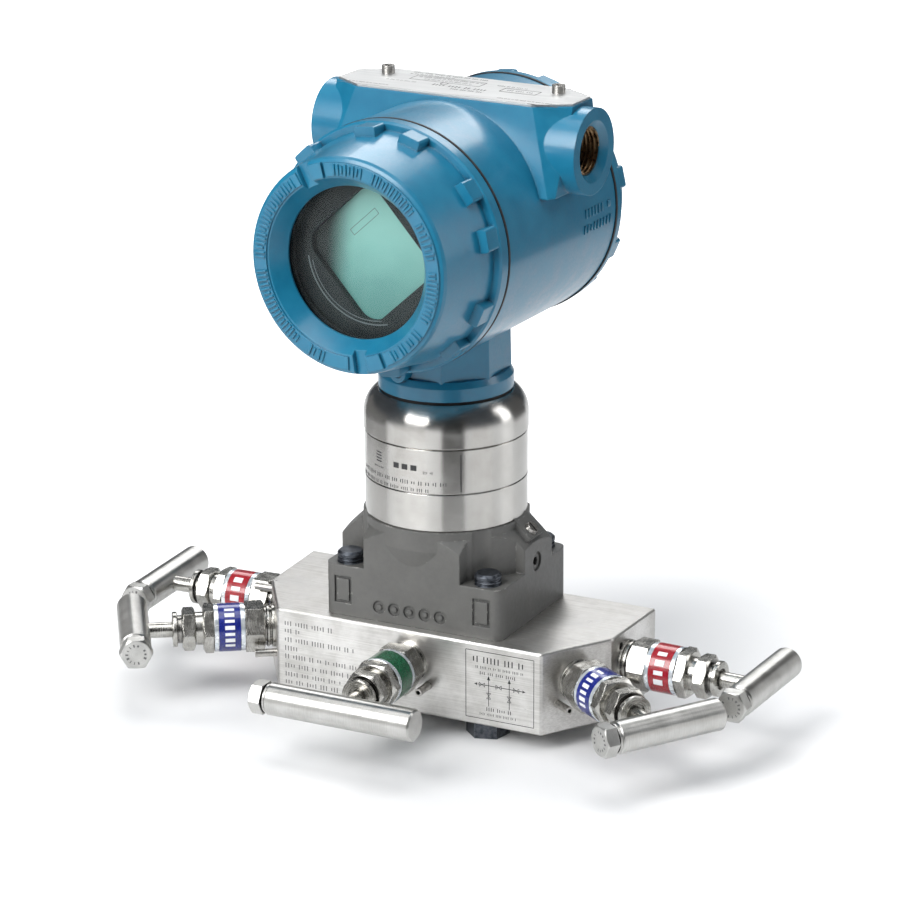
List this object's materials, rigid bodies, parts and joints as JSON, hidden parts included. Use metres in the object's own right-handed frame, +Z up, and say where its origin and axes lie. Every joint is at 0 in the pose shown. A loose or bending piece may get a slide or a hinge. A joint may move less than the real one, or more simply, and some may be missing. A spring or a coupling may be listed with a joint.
{
  "type": "pressure transmitter",
  "caption": "Differential pressure transmitter: round blue housing with a display window, stainless sensor module, grey flange and valve manifold with T handles.",
  "frame": {"origin": "centre of the sensor module's axis on the flat underside of the manifold block", "axes": "+Z up along the module axis, -Y towards the display and the equalise valve, +X to the display side's right"},
  "size_m": [0.2932, 0.1738, 0.2625],
  "materials": {
    "manifold_steel": "ground block",
    "bare_steel": "bare",
    "valve_steel": "machined",
    "handle_steel": "turned and brushed",
    "module_steel": "turned",
    "plate_steel": "satin",
    "bolt_steel": "dark zinc",
    "flange_paint": "grey, satin, over casting",
    "blue_paint": "blue, semi gloss, over casting",
    "seal_rubber": "matt",
    "dark_plastic": "matt",
    "lcd_plastic": "flat display",
    "window_glass": "clear",
    "blue_band": "printed film",
    "red_band": "printed film",
    "green_band": "printed film"
  },
  "bodies": {
    "manifold": {"manifold_block": "manifold_steel", "lock_pins": "bare_steel", "flange": "flange_paint", "flange_bolts": "bolt_steel", "pad_screw": "bare_steel", "side_plugs": "flange_paint", "module_can": "module_steel", "module_dome": "module_steel", "neck_gasket": "seal_rubber", "left_isolate_bonnet": "valve_steel", "left_isolate_band": "blue_band", "left_isolate_lock_nut": "valve_steel", "left_isolate_packing_nut": "valve_steel", "right_isolate_bonnet": "valve_steel", "right_isolate_band": "blue_band", "right_isolate_lock_nut": "valve_steel", "right_isolate_packing_nut": "valve_steel", "left_vent_bonnet": "valve_steel", "left_vent_band": "red_band", "left_vent_lock_nut": "valve_steel", "left_vent_packing_nut": "valve_steel", "right_vent_bonnet": "valve_steel", "right_vent_band": "red_band", "right_vent_lock_nut": "valve_steel", "right_vent_packing_nut": "valve_steel", "equalise_bonnet": "valve_steel", "equalise_band": "green_band", "equalise_lock_nut": "valve_steel", "equalise_packing_nut": "valve_steel"},
    "housing": {"housing": "blue_paint", "set_screw": "bolt_steel", "nameplate": "plate_steel", "nameplate_screws": "bare_steel", "display_bezel": "dark_plastic", "lcd_panel": "lcd_plastic", "display_body": "dark_plastic", "electronics_pack": "dark_plastic", "terminal_block": "dark_plastic", "terminal_screws": "bare_steel"},
    "display_cover": {"display_cover": "blue_paint", "window_glass": "window_glass", "window_retainer": "dark_plastic", "front_o_ring": "seal_rubber"},
    "rear_cover": {"rear_cover": "blue_paint", "rear_o_ring": "seal_rubber"},
    "left_isolate_handle": {"left_isolate_stem": "valve_steel", "left_isolate_handle_bar": "handle_steel", "left_isolate_handle_screw": "handle_steel"},
    "right_isolate_handle": {"right_isolate_stem": "valve_steel", "right_isolate_handle_bar": "handle_steel", "right_isolate_handle_screw": "handle_steel"},
    "left_vent_handle": {"left_vent_stem": "valve_steel", "left_vent_handle_bar": "handle_steel", "left_vent_handle_screw": "handle_steel"},
    "right_vent_handle": {"right_vent_stem": "valve_steel", "right_vent_handle_bar": "handle_steel", "right_vent_handle_screw": "handle_steel"},
    "equalise_handle": {"equalise_stem": "valve_steel", "equalise_handle_bar": "handle_steel", "equalise_handle_screw": "handle_steel"}
  },
  "joints": [
    {"name": "housing_swivel", "type": "hinge", "parent": "manifold", "child": "housing", "pos_m": [0, 0, 0.1993], "axis": [0, 0, 1], "range_deg": [-180, 180]},
    {"name": "display_cover_turn", "type": "hinge", "parent": "housing", "child": "display_cover", "pos_m": [0, 0, 0.1993], "axis": [-0.0419, -0.9991, 0], "range_deg": [0, 1800]},
    {"name": "rear_cover_turn", "type": "hinge", "parent": "housing", "child": "rear_cover", "pos_m": [0, 0, 0.1993], "axis": [0.0419, 0.9991, 0], "range_deg": [0, 1800]},
    {"name": "left_isolate_turn", "type": "hinge", "parent": "manifold", "child": "left_isolate_handle", "pos_m": [-0.07038, -0.0219, 0.0211], "axis": [-0.837, -0.5472, 0], "range_deg": [0, 1080]},
    {"name": "right_isolate_turn", "type": "hinge", "parent": "manifold", "child": "right_isolate_handle", "pos_m": [0.07038, -0.0219, 0.0211], "axis": [0.837, -0.5472, 0], "range_deg": [0, 1080]},
    {"name": "left_vent_turn", "type": "hinge", "parent": "manifold", "child": "left_vent_handle", "pos_m": [-0.0799, 0.0044, 0.0217], "axis": [-0.9992, -0.0402, 0], "range_deg": [0, 1080]},
    {"name": "right_vent_turn", "type": "hinge", "parent": "manifold", "child": "right_vent_handle", "pos_m": [0.0799, 0.0044, 0.0217], "axis": [0.9992, -0.0402, 0], "range_deg": [0, 1080]},
    {"name": "equalise_turn", "type": "hinge", "parent": "manifold", "child": "equalise_handle", "pos_m": [0, -0.0367, 0.0218], "axis": [0, -1, 0], "range_deg": [0, 1080]}
  ]
}
